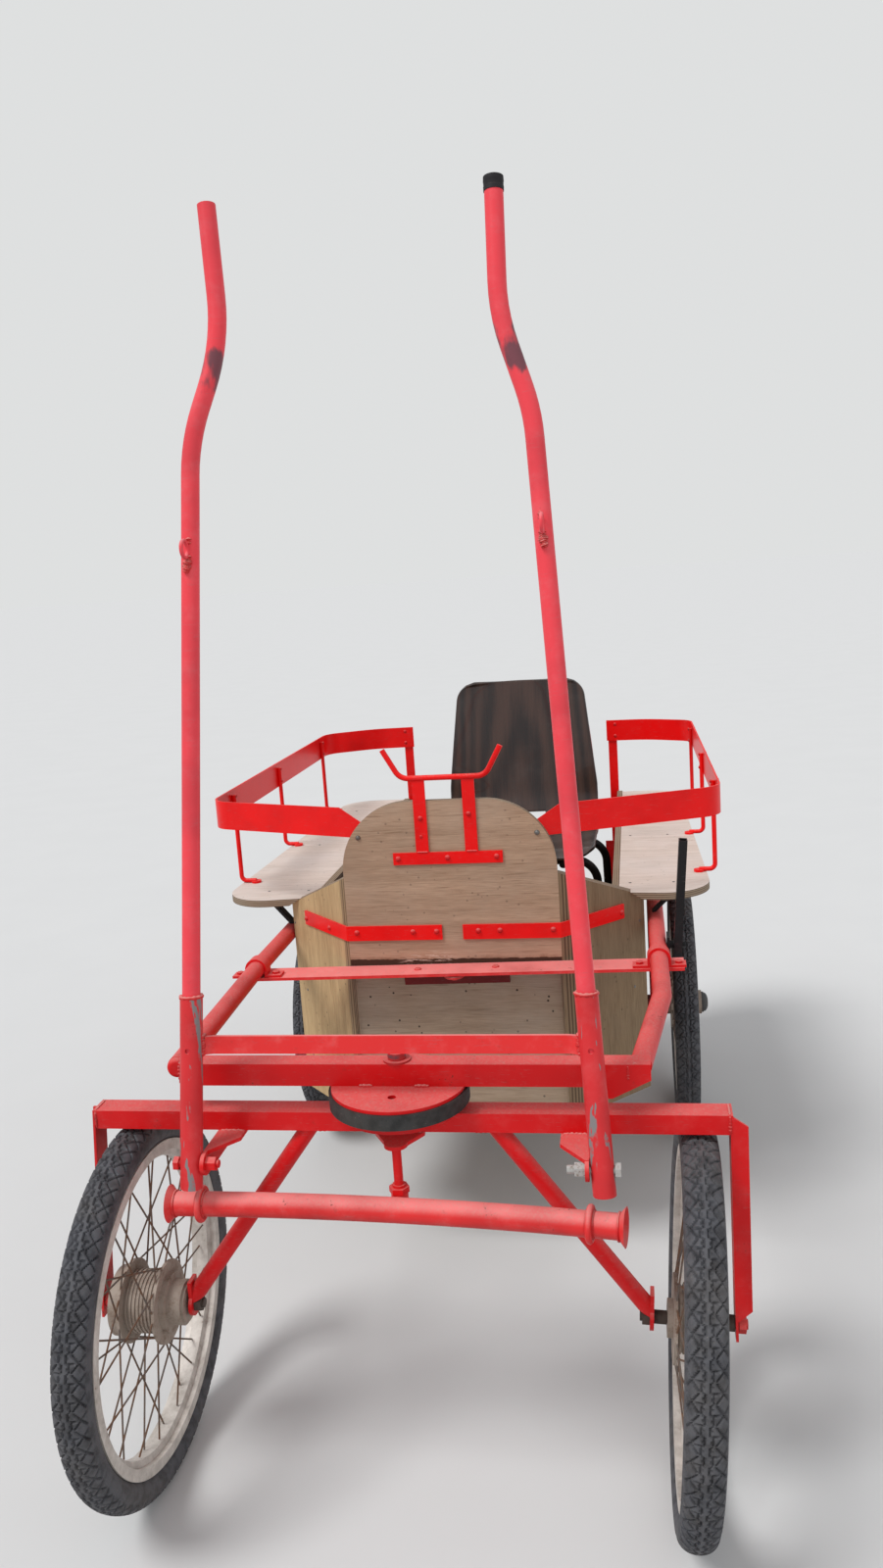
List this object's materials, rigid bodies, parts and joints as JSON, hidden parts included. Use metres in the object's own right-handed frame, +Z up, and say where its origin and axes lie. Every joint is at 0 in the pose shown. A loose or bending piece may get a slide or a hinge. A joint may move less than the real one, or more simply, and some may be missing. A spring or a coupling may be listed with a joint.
{
  "type": "pony cart",
  "caption": "Four-wheeled pony cart with a steering fore axle, raised shafts, swingletree, plywood tub, side benches with guard rails and a moulded seat.",
  "frame": {"origin": "on the floor, midway along and across the cart as parked", "axes": "+Z up, -Y towards the shafts, +X to the cart's own left"},
  "size_m": [1.0795, 2.1399, 1.9797],
  "materials": {
    "red_paint": "worn gloss",
    "dark_red_paint": "worn satin",
    "body_ply": "weathered matte",
    "bench_ply": "weathered matte",
    "seat_ply": "lacquered",
    "black_paint": "satin",
    "tyre_rubber": "dusty matte",
    "rim_alloy": "dull",
    "hub_steel": "rusty satin",
    "ring_rubber": "matte",
    "pin_steel": "dull"
  },
  "bodies": {
    "chassis": {"front_crossmember": "red_paint", "side_tube_left": "red_paint", "side_tube_right": "red_paint", "turntable_plate": "red_paint", "kingpin": "pin_steel", "cross_strap": "red_paint", "tube_clamps": "red_paint", "body_bracket": "dark_red_paint", "rear_axle": "dark_red_paint", "axle_hangers": "red_paint", "rear_stirrup": "red_paint", "front_panel": "body_ply", "lower_panel": "body_ply", "floor_board": "body_ply", "corner_panel_left": "body_ply", "corner_panel_right": "body_ply", "side_wall_left": "body_ply", "side_wall_right": "body_ply", "bench_board_left": "bench_ply", "bench_board_right": "bench_ply", "guard_rail_left": "red_paint", "guard_rail_right": "red_paint", "board_braces": "black_paint", "corner_posts": "red_paint", "corner_straps": "red_paint", "rein_rail": "red_paint", "brake_lever": "black_paint", "seat_shell": "seat_ply", "seat_frame": "black_paint"},
    "fore_axle": {"axle_beam": "red_paint", "turntable_base": "red_paint", "turntable_ring": "ring_rubber", "wheel_leg_left": "red_paint", "wheel_leg_right": "red_paint", "wheel_brace_left": "red_paint", "wheel_brace_right": "red_paint", "front_spindles": "pin_steel", "shaft_brackets": "red_paint", "tree_hanger": "red_paint"},
    "shafts": {"shaft_crossbar": "red_paint", "shaft_socket_left": "red_paint", "shaft_socket_right": "red_paint", "shaft_pole_left": "red_paint", "shaft_pole_right": "red_paint"},
    "swingletree": {"swingletree": "red_paint"},
    "front_left_wheel": {"front_left_tyre": "tyre_rubber", "front_left_rim": "rim_alloy", "front_left_hub": "hub_steel"},
    "front_right_wheel": {"front_right_tyre": "tyre_rubber", "front_right_rim": "rim_alloy", "front_right_hub": "hub_steel"},
    "rear_left_wheel": {"rear_left_tyre": "tyre_rubber", "rear_left_rim": "rim_alloy", "rear_left_hub": "hub_steel"},
    "rear_right_wheel": {"rear_right_tyre": "tyre_rubber", "rear_right_rim": "rim_alloy", "rear_right_hub": "hub_steel"}
  },
  "joints": [
    {"name": "steer", "type": "hinge", "parent": "chassis", "child": "fore_axle", "pos_m": [0, -0.764, 0.6], "axis": [0, 0, 1], "range_deg": [-6, 6]},
    {"name": "shafts_lower", "type": "hinge", "parent": "fore_axle", "child": "shafts", "pos_m": [0, -0.857, 0.59], "axis": [1, 0, 0], "range_deg": [0, 112]},
    {"name": "swingletree_swing", "type": "hinge", "parent": "fore_axle", "child": "swingletree", "pos_m": [0, -0.816, 0.512], "axis": [0, 0, 1], "range_deg": [-6.9, 13.1]},
    {"name": "front_left_wheel_spin", "type": "hinge", "parent": "fore_axle", "child": "front_left_wheel", "pos_m": [0.4285, -0.77, 0.3], "axis": [0.9984, 0, -0.0558], "continuous": true},
    {"name": "front_right_wheel_spin", "type": "hinge", "parent": "fore_axle", "child": "front_right_wheel", "pos_m": [-0.439, -0.77, 0.3], "axis": [1, 0, 0], "continuous": true},
    {"name": "rear_left_wheel_spin", "type": "hinge", "parent": "chassis", "child": "rear_left_wheel", "pos_m": [0.467, 0.555, 0.3], "axis": [1, 0, 0], "continuous": true},
    {"name": "rear_right_wheel_spin", "type": "hinge", "parent": "chassis", "child": "rear_right_wheel", "pos_m": [-0.467, 0.555, 0.3], "axis": [1, 0, 0], "continuous": true}
  ]
}
